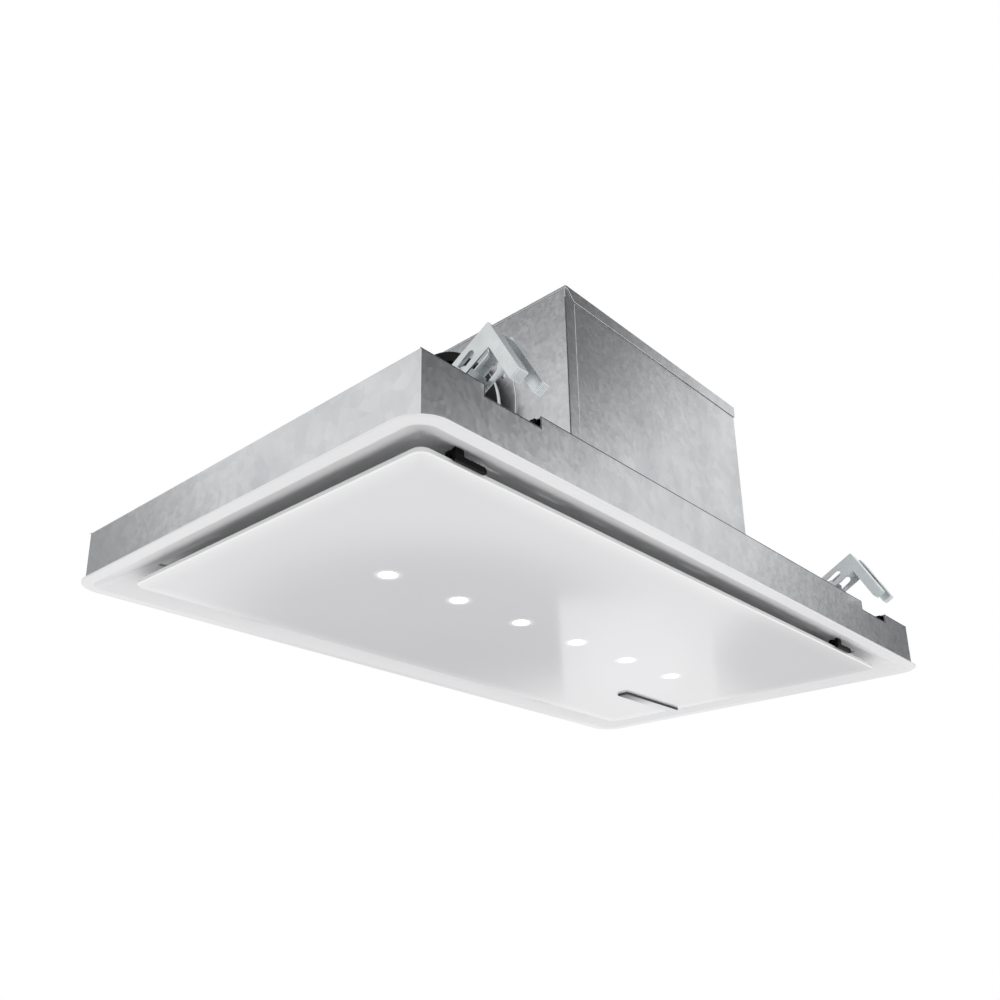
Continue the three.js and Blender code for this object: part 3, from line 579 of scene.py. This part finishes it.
def makeEdgeShadowLines():
    # Painted shadow: thin dark strips along the top of the housing's walls, round its notches and up the
    # corners of the duct wall stand for the thin lines of shade at these edges. Strips lie on the sharp outer
    # edges above the least height.
    shadowLine = {"half": 0.45, "proud": 0.12, "least": 20, "near": 0.1}
    proud = shadowLine["proud"] * mm
    half = Vector((shadowLine["half"],) * 3) * mm
    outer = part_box("housing_shell")[1]
    shell = copyOfPart("housing_shell")
    strips = bmesh.new()
    for edge in shell.edges:
        ends = [vert.co for vert in edge.verts]
        walls = [axis for axis in (0, 1)
                 if all(abs(abs(end[axis]) - outer[axis]) < shadowLine["near"] * mm for end in ends)]
        if not isSharp(edge) or len(walls) != 1 or min(end.z for end in ends) < shadowLine["least"] * mm:
            continue
        low = Vector([min(pair) for pair in zip(*ends)]) - half
        high = Vector([max(pair) for pair in zip(*ends)]) + half
        wall = walls[0]
        if ends[0][wall] > 0:
            high[wall] = outer[wall] + proud
        else:
            low[wall] = -outer[wall] - proud
        high.z = min(high.z, outer.z + proud)
        joinShapes(strips, slab(low, high))
    shell.free()
    low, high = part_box("blower_wall_duct")
    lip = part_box("blower_lid")[0].z
    deep = 2 * shadowLine["half"] * mm - proud
    for start, end in ((low.y - proud, low.y + deep), (high.y - deep, high.y + proud)):
        joinShapes(strips, slab((low.x - proud, start, low.z), (low.x + deep, end, lip)))
    finishPiece(strips, "cutEdges", "galvanised_steel", "hood_body", material=bareSteel())


def makeCollar():
    # Steel collar: flange, rolled bead and pipe. Heights run outwards from the wall of the blower box.
    collar = {"bore": 73.4, "pipe": 75, "flange": 100, "sheet": 1.2, "length": 20, "easeAcross": 0.4,
              "easeAlong": 0.3, "steps": 128,
              "bead": [(79.5, 1.2), (79.0, 2.6), (78.0, 3.9), (76.6, 4.4), (75.4, 3.9), (75, 2.9)]}
    low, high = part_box("duct_spigot")
    axis = (0, 0, (low.z + high.z) / 2)
    bore, flange, sheet = collar["bore"], collar["flange"], collar["sheet"]
    section = [(bore, 0), (flange, 0), (flange, sheet - collar["easeAlong"]),
               (flange - collar["easeAcross"], sheet), *collar["bead"], (collar["pipe"], collar["length"]),
               (bore, collar["length"]), (bore, 0)]
    shape = spun([(radius, out - high.x / mm) for radius, out in section], collar["steps"], "-X", axis)
    replacePart(shape, "duct_spigot")

    # Black ring on the collar's mouth: radii with the distance from the ring's back or from its mouth.
    ring = {"back": [(75.3, 0), (80.2, 0), (80.9, 1), (81.5, 5)],
            "mouth": [(81.5, -2.4), (81.0, -1.2), (80.0, -0.3), (78.6, 0), (77.0, 0), (76.2, -0.3),
                      (74.6, -1.6), (72.4, -2.6), (71.6, -3.6)],
            "seat": [(71.6, 14), (75.3, 14), (75.3, 0)]}
    low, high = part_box("damper_ring")
    starts = {"back": -high.x / mm, "mouth": -low.x / mm, "seat": -high.x / mm}
    section = [(radius, start + out) for part, start in starts.items() for radius, out in ring[part]]
    shape = spun(section, collar["steps"], "-X", axis)
    replacePart(shape, "damper_ring")


def makeSmallParts():
    # How far the edges of each part are rounded: what each clamp has, then what stands once or in pairs.
    atCorners = {"clamp_carrier": 0.4, "clamp_pocket": 0.5}
    others = {"catch_strike": 0.3, "hinge_base": 0.4, "hinge_leaf": 0.3, "filter_latch": 0.6,
              "panel_carrier": 0.5, "intake_pan": 0.4, "control_tray": 0.8, "control_cover": 1.2,
              "grease_filter": 0.4}
    for corner in corners:
        for part, radius in atCorners.items():
            dressPart(f"{part}_{corner}", radius)
    for part, radius in others.items():
        for name in sorted(node for node in nodes if node.startswith(part)):
            dressPart(name, radius)


makeSheetMetal()
makeEdgeShadowLines()
makeCollar()
makeSmallParts()
print("sheet metal and small parts made")


def makeBrackets():
    # The bend at the apex is rounded more than the cut edges.
    bracket = {"apexY": 227.5, "apexZ": 127.5, "near": 0.5, "rounding": 1.9, "edge": 0.35}
    for corner in corners:
        name = f"clamp_bracket_{corner}"
        shape = copyOfPart(name)
        apex = [edge for edge in shape.edges if edge.calc_length() > bracket["near"] * mm
                and all(abs(abs(vert.co.y) / mm - bracket["apexY"]) < bracket["near"]
                        and abs(vert.co.z / mm - bracket["apexZ"]) < bracket["near"] for vert in edge.verts)]
        roundEdges(shape, apex, bracket["rounding"], segments=5)
        roundSharpEdges(shape, bracket["edge"])
        replacePart(shape, name)


def makeMagnetCatches():
    # An upright plate under the cove with a bar that runs on to the right. Behind it are its neck, the case
    # of the magnet, the case's lower half and the cap, as blocks with their rounding. A screw, with its
    # steps, holds it from the left. Lengths run from the middle of the plate, heights from the underside of
    # the band.
    catch = {"front": -210.6, "back": -206.8, "half": 5, "end": 31, "reach": 37, "low": 3.2, "step": 8.6,
             "top": 14.3, "near": 0.1, "tipRadius": 3.2, "innerRadius": 1.0, "edge": 0.5,
             "blocks": (((-4.3, -207.4, 8.7), (5, -205.8, 12.9), 0),
                        ((-5, -206.4, 8.2), (5, -199, 13.4), 0.4),
                        ((4, -206.6, 8.2), (29, -199, 11.6), 0.4),
                        ((0.5, -209.4, 12.8), (5, -204.8, 15), 0.2)),
             "screw": ([(0, 0.1), (0.8, 0.1), (0.8, 0.45), (1.2, 0.45), (1.3, 0.3), (1.3, -0.3), (0, -0.3)],
                       24), "screwPlace": (-5, -208.7, 11.7)}
    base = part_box("ceiling_frame")[0].z / mm
    half, end, low, step, top = (catch[key] for key in ("half", "end", "low", "step", "top"))
    outline = [(-half, low), (end, low), (end, step), (half, step), (half, top), (-half, top)]
    for side in ("left", "right"):
        name = f"magnet_catch_{side}"
        middle = Vector((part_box(name)[1].x / mm - catch["reach"], 0, base))
        shape = bmesh.new()
        verts = [shape.verts.new((middle + Vector((x, catch["front"], z))) * mm) for x, z in outline]
        plate = bmesh.ops.extrude_face_region(shape, geom=[shape.faces.new(verts)])["geom"]
        bmesh.ops.translate(shape, verts=[item for item in plate if isinstance(item, bmesh.types.BMVert)],
                            vec=(0, (catch["back"] - catch["front"]) * mm, 0))
        bmesh.ops.recalc_face_normals(shape, faces=shape.faces)
        for x, radius in ((end, catch["tipRadius"]), (half, catch["innerRadius"])):
            turn = ((middle + Vector((x, 0, step))) * mm).xz
            edges = [edge for edge in shape.edges
                     if all((vert.co.xz - turn).length < catch["near"] * mm for vert in edge.verts)]
            roundEdges(shape, edges, radius, segments=5)
        roundSharpEdges(shape, catch["edge"], segments=3)
        for start, stop, radius in catch["blocks"]:
            joinShapes(shape, slab((middle + Vector(start)) * mm, (middle + Vector(stop)) * mm, radius))
        joinShapes(shape, spun(*catch["screw"], "-X", (middle + Vector(catch["screwPlace"])) * mm))
        replacePart(shape, name)


def makeClampScrews():
    # The part's own head, with a core and a thread in place of its plain shank. The thread is one section,
    # carried round and up by a spin.
    screw = {"head": 4.2, "headEdge": 0.4, "core": 2.4, "crest": 3.0, "sunk": 0.2, "rootHalf": 0.95,
             "crestHalf": 0.12, "pitch": 2.0, "steps": 16, "point": 0.8, "overlap": 1, "start": 1}
    root = screw["core"] - screw["sunk"]
    ridge = [(root, -screw["rootHalf"]), (screw["crest"], -screw["crestHalf"]),
             (screw["crest"], screw["crestHalf"]), (root, screw["rootHalf"])]
    for corner in corners:
        name = f"clamp_screw_{corner}"
        low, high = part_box(name)
        place = Matrix.Translation(((low.x + high.x) / 2, (low.y + high.y) / 2, 0))
        neck, tip = low.z / mm + screw["head"], high.z / mm
        head = copyOfPart(name)
        cutAlong(head, (0, 0, neck * mm), (0, 0, 1), clear=True)
        closeHoles(head)
        roundSharpEdges(head, screw["headEdge"])
        foot = neck - screw["overlap"]
        core = spun([(0, foot), (screw["core"], foot), (screw["core"], tip - screw["point"]),
                     (screw["core"] - screw["point"], tip), (0, tip)], screw["steps"])
        thread = bmesh.new()
        start = neck + screw["start"]
        verts = [thread.verts.new((radius * mm, 0, (start + height) * mm)) for radius, height in ridge]
        edges = [thread.edges.new(pair) for pair in zip(verts, verts[1:] + verts[:1])]
        turns = int((tip - neck) / screw["pitch"]) - 1
        bmesh.ops.spin(thread, geom=verts + edges, cent=(0, 0, 0), axis=(0, 0, 1),
                       dvec=(0, 0, screw["pitch"] * mm / screw["steps"]), angle=2 * math.pi * turns,
                       steps=screw["steps"] * turns, use_merge=False, use_duplicate=False)
        closeHoles(thread)
        core.transform(place)
        thread.transform(place)
        replacePart(joinShapes(head, core, thread), name)


def makeFootPads():
    # Ribbed grip plates under the feet of the clamps, drawn in the bracket's own frame: X along the inner
    # limb, Y square to it and Z along the hood.
    pad = {"apexY": -227.5, "apexZ": 127.5, "tilt": 28.8, "foot": -65, "start": 0.5, "stop": 11, "thick": 0.4,
           "spans": ((-14.5, -3.5), (14, 22.5)), "sunk": 0.2, "edge": 0.2, "ribs": 6, "ribHeight": 0.6,
           "ribHalf": 0.5, "ribInset": 0.6, "ribSunk": 0.1}
    tilt = math.radians(pad["tilt"])
    place = Matrix(((0, 0, 1, 0), (math.cos(tilt), math.sin(tilt), 0, pad["apexY"] * mm),
                    (-math.sin(tilt), math.cos(tilt), 0, pad["apexZ"] * mm), (0, 0, 0, 1)))
    bottom = pad["foot"] - pad["thick"]
    blocks = []
    for near, far in pad["spans"]:
        blocks.append(((pad["start"], bottom, near), (pad["stop"], pad["foot"] + pad["sunk"], far)))
        for i in range(pad["ribs"]):
            rib = near + (i + 0.5) * (far - near) / pad["ribs"]
            blocks.append(((pad["start"] + pad["ribInset"], bottom - pad["ribHeight"], rib - pad["ribHalf"]),
                           (pad["stop"] - pad["ribInset"], bottom + pad["ribSunk"], rib + pad["ribHalf"])))
    for corner in corners:
        bracket = f"clamp_bracket_{corner}"
        low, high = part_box(f"clamp_screw_{corner}")
        half = Matrix.Rotation(math.pi, 4, "Z") if corner.startswith("far") else Matrix.Identity(4)
        pads = bmesh.new()
        for start, stop in blocks:
            joinShapes(pads, slab(Vector(start) * mm, Vector(stop) * mm, pad["edge"]))
        pads.transform(Matrix.Translation(((low.x + high.x) / 2, 0, 0)) @ half @ place)
        finishPiece(pads, camel(f"foot_pads_{corner}"), "zinc_plated_steel", bodyOf[bracket])


def makeFilterMesh():
    # Expanded aluminium: a diamond grid, cut to the rim's opening and given its strands. Real diamonds are
    # near 5 mm long and these are drawn at 13 mm to show. A bite leaves room for the latch's travel.
    net = {"opening": 138, "long": 13, "short": 7, "strand": 1.3, "flatten": 0.6, "above": 0.55,
           "biteHalf": 18, "biteDepth": 9}
    reach = net["opening"] * (1 + net["long"] / net["short"]) / math.sqrt(2)
    count = math.ceil(2 * reach / (net["long"] / math.sqrt(2)))
    biteHalf = net["biteHalf"] * mm
    inner = (-net["opening"] + net["biteDepth"]) * mm
    cuts = (((biteHalf, 0, 0), (1, 0, 0)), ((-biteHalf, 0, 0), (1, 0, 0)), ((0, inner, 0), (0, 1, 0)))
    for side in ("left", "right"):
        name = f"grease_filter_{side}"
        low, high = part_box(name)
        middle = (low + high) / 2
        shape = bmesh.new()
        bmesh.ops.create_grid(shape, x_segments=count, y_segments=count, size=reach * mm)
        shape.transform(Matrix.Diagonal((1, net["short"] / net["long"], 1, 1))
                        @ Matrix.Rotation(math.pi / 4, 4, "Z"))
        for way in ((1, 0, 0), (-1, 0, 0), (0, 1, 0), (0, -1, 0)):
            cutAlong(shape, Vector(way) * net["opening"] * mm, way, clear=True)
        for point, way in cuts:
            cutAlong(shape, point, way)
        bite = [face for face in shape.faces if abs(face.calc_center_median().x) < biteHalf
                and face.calc_center_median().y < inner]
        bmesh.ops.delete(shape, geom=bite, context="FACES")
        bmesh.ops.wireframe(shape, faces=shape.faces[:], thickness=net["strand"] * mm, use_boundary=True,
                            use_even_offset=True, use_replace=True)
        shape.transform(Matrix.Translation((middle.x, middle.y, low.z + net["above"] * mm))
                        @ Matrix.Diagonal((1, 1, net["flatten"], 1)))
        finishPiece(shape, camel(f"filter_net_{side}"), "filter_aluminium", bodyOf[name])


def makeGland():
    # Hexagon at the wall, and cap nut with its soft sleeve: radii and distances from the wall, and steps.
    gland = {"hexagon": ([(5, 0), (11, 0), (11, 4.6), (10.5, 5), (5, 5), (5, 0)], 6),
             "cap": ([(4.2, 5), (8, 5), (8, 14.5), (7.2, 16), (5.4, 16), (4.9, 17.6), (4.2, 18), (4.2, 5)],
                     24)}
    low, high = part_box("cable_gland")
    place = (low.x, (low.y + high.y) / 2, (low.z + high.z) / 2)
    shape = joinShapes(spun(*gland["hexagon"], "X", place), spun(*gland["cap"], "X", place))
    replacePart(shape, "cable_gland")


def placeFasteners(name, slot, places, *parts):
    # One fastener at each place, along its axis. Its parts are profiles, each with its steps.
    heads = bmesh.new()
    for place, axis in places:
        joinShapes(heads, *[spun(*part, axis, Vector(place) * mm) for part in parts])
    finishPiece(heads, name, slot, "hood_body")


def makeScrews():
    # Hexagon screws with a pressed washer, on the lip of the lid and on the control cover.
    screw = {"washer": ([(0, -0.4), (4.6, -0.4), (4.6, 0.5), (4.2, 0.9), (0, 0.9)], 32),
             "head": ([(0, 0.5), (3.3, 0.5), (3.3, 3.0), (2.9, 3.4), (0, 3.4)], 6), "lipRise": 6.5,
             "lidPlaces": (-130, 0, 130), "coverX": (207, 319), "coverY": (-59, 59)}
    lidLow, lidHigh = (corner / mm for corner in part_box("blower_lid"))
    lip = lidLow.z + screw["lipRise"]
    places = [((x, lidHigh.y, lip), "Y") for x in screw["lidPlaces"]]
    places += [((lidHigh.x, y, lip), "X") for y in screw["lidPlaces"]]
    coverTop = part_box("control_cover")[1].z / mm
    places += [((x, y, coverTop), "Z") for x in screw["coverX"] for y in screw["coverY"]]
    placeFasteners("sheetScrews", "zinc_plated_steel", places, screw["washer"], screw["head"])


def makeRivets():
    # Pop rivets round the collar's flange and on the deck, each a low dome round the end of its pin.
    rivet = {"dome": ([(0.9, 0.5), (1.1, 1.25), (2.2, 1.0), (3.1, 0.3), (3.2, -0.3), (0, -0.3)], 24),
             "pin": ([(0, 0.4), (0.9, 0.5), (0.9, 0.2), (0, 0.2)], 12), "count": 8, "radius": 91,
             "face": -169.2, "level": 187.5, "deck": 55, "deckX": (-178, 178), "deckY": (-120, 120)}
    turns = [(i + 0.5) * 2 * math.pi / rivet["count"] for i in range(rivet["count"])]
    places = [((rivet["face"], rivet["radius"] * math.cos(turn),
                rivet["level"] + rivet["radius"] * math.sin(turn)), "-X") for turn in turns]
    places += [((x, y, rivet["deck"]), "Z") for x in rivet["deckX"] for y in rivet["deckY"]]
    placeFasteners("popRivets", "filter_aluminium", places, rivet["dome"], rivet["pin"])


def makeDeckBeads():
    # Low beads pressed up in the deck to stiffen it, each with its place along the hood and half its length.
    bead = {"top": 55, "height": 0.9, "sunk": 0.4, "half": 6, "edge": 1.2,
            "lines": ((-210, 130), (-245, 150), (-280, 150), (370, 90), (405, 150))}
    shape = bmesh.new()
    for x, reach in bead["lines"]:
        low = Vector((x - bead["half"], -reach, bead["top"] - bead["sunk"])) * mm
        high = Vector((x + bead["half"], reach, bead["top"] + bead["height"])) * mm
        joinShapes(shape, slab(low, high, bead["edge"], segments=4))
    finishPiece(shape, "deckBeads", "galvanised_steel", "hood_body", smooth=60)


makeBrackets()
makeMagnetCatches()
makeClampScrews()
makeFootPads()
makeFilterMesh()
makeGland()
makeScrews()
makeRivets()
makeDeckBeads()
print("fittings made")


def makeWorld():
    # A plain light all round, which is white to the camera, to mirrors and through glass.
    light = {"level": 0.9, "seen": 1.0}
    world = bpy.data.worlds.new("studio")
    bpy.context.scene.world = world
    world.use_nodes = True
    tree = world.node_tree
    tree.nodes.clear()
    path = addNode(tree, "LightPath").outputs
    seen = addNode(tree, "Math", {"operation": "ADD"},
                   {0: path["Is Camera Ray"], 1: path["Is Glossy Ray"]}).outputs[0]
    seen = addNode(tree, "Math", {"operation": "ADD", "use_clamp": True},
                   {0: seen, 1: path["Is Transmission Ray"]}).outputs[0]
    strength = addNode(tree, "MapRange", {"To Min": light["level"], "To Max": light["seen"]},
                       {"Value": seen}).outputs[0]
    back = addNode(tree, "Background", {"Color": (1, 1, 1, 1)}, {"Strength": strength})
    addNode(tree, "OutputWorld", links={"Surface": back.outputs[0]})


def addSheet(name, matrix, material):
    # One flat square for the studio, two units wide before the matrix.
    shape = bmesh.new()
    bmesh.ops.create_grid(shape, x_segments=1, y_segments=1, size=1, matrix=matrix)
    mesh = bpy.data.meshes.new(name)
    shape.to_mesh(mesh)
    shape.free()
    mesh.materials.append(material)
    sheet = bpy.data.objects.new(name, mesh)
    bpy.context.collection.objects.link(sheet)
    return sheet


def makeFloor():
    # White paint, lifted to the white of the world for the camera and mirrors. It keeps its shadow.
    ground = {"height": -2000, "half": 7000, "lift": 0.16, "paint": "#fafafa"}
    material, tree = newMaterial("paintedFloor")[:2]
    path = addNode(tree, "LightPath").outputs
    seen = addNode(tree, "Math", {"operation": "ADD", "use_clamp": True},
                   {0: path["Is Camera Ray"], 1: path["Is Glossy Ray"]}).outputs[0]
    lift = addNode(tree, "MapRange", {"To Max": ground["lift"]}, {"Value": seen}).outputs[0]
    shade(material, {"Base Color": linearColour(ground["paint"]), "Roughness": 0.9, "Specular IOR Level": 0.0,
                     "Emission Color": (1, 1, 1, 1)}, {"Emission Strength": lift})
    half = ground["half"] * mm
    place = Matrix.Translation((0, 0, ground["height"] * mm)) @ Matrix.Diagonal((half, half, 1, 1))
    floor = addSheet("studioFloor", place, material)


def makeCards():
    # Soft cards that only mirror-like surfaces see: each fades from its middle to its surroundings at its
    # rim, and gives the sheet metal and the glass their slow change from light to dark. A card is its
    # place, its aim, half its width, half its height and the brightness of its middle.
    cards = {"nearCard": ((600, -1350, 1150), (600, -1350, 0), 1100, 1100, 0.0),
             "endCard": ((2300, -770, 560), (440, -240, 0), 640, 800, 0.0),
             "leftCard": ((-800, 600, 1250), (0, 0, 0), 620, 560, 0.1),
             "backCard": ((-1330, 2280, 830), (-440, 240, 0), 500, 760, 0.1),
             "overCard": ((600, 600, 1900), (600, 600, 0), 1500, 1200, 0.2),
             "glassCard": ((1500, 1700, -800), (0, 0, 0), 1000, 380, 0.1),
             "sheenCard": ((1813, 1090, -606), (0, 0, 0), 240, 200, 1.15),
             "cornerCard": ((2200, 700, -620), (0, 0, 0), 420, 260, 0.3)}
    fadeStart = 0.4
    for name, (place, aim, across, upright, middle) in cards.items():
        material, tree, spot = newMaterial(name)
        spot = addNode(tree, "Mapping", {"Scale": (1000 / across, 1000 / upright, 1)}, {"Vector": spot})
        away = addNode(tree, "VectorMath", {"operation": "LENGTH"}, {0: spot.outputs[0]}).outputs["Value"]
        fade = addNode(tree, "MapRange", {"interpolation_type": "SMOOTHERSTEP", "From Min": fadeStart,
                                          "To Min": middle, "To Max": 1.0}, {"Value": away})
        shade(material, {}, {"Strength": fade.outputs[0]}, "Emission")
        card = addSheet(name, Matrix.Diagonal((across * mm, upright * mm, 1, 1)), material)
        card.location = Vector(place) * mm
        card.rotation_euler = (Vector(aim) * mm - card.location).to_track_quat("Z", "Y").to_euler()
        card.visible_camera = card.visible_diffuse = card.visible_shadow = card.visible_transmission = False


def makeLights():
    # Two soft discs, unseen in mirrors, aimed at the middle of the hood. Each is its place, its width in
    # metres and its power in watts.
    lights = {"keyLamp": ((700, 1100, -1500), 2.2, 3.8), "fillLamp": ((1300, -1500, 900), 1.4, 5)}
    aim = Vector((0, 0, 50)) * mm
    for name, (place, size, power) in lights.items():
        data = bpy.data.lights.new(name, "AREA")
        data.shape = "DISK"
        data.size = size
        data.energy = power
        lamp = bpy.data.objects.new(name, data)
        lamp.location = Vector(place) * mm
        lamp.rotation_euler = (aim - lamp.location).to_track_quat("-Z", "Y").to_euler()
        lamp.visible_glossy = False
        bpy.context.collection.objects.link(lamp)


makeWorld()
makeFloor()
makeCards()
makeLights()
bpy.context.scene.view_settings.view_transform = "Standard"
print("studio made")
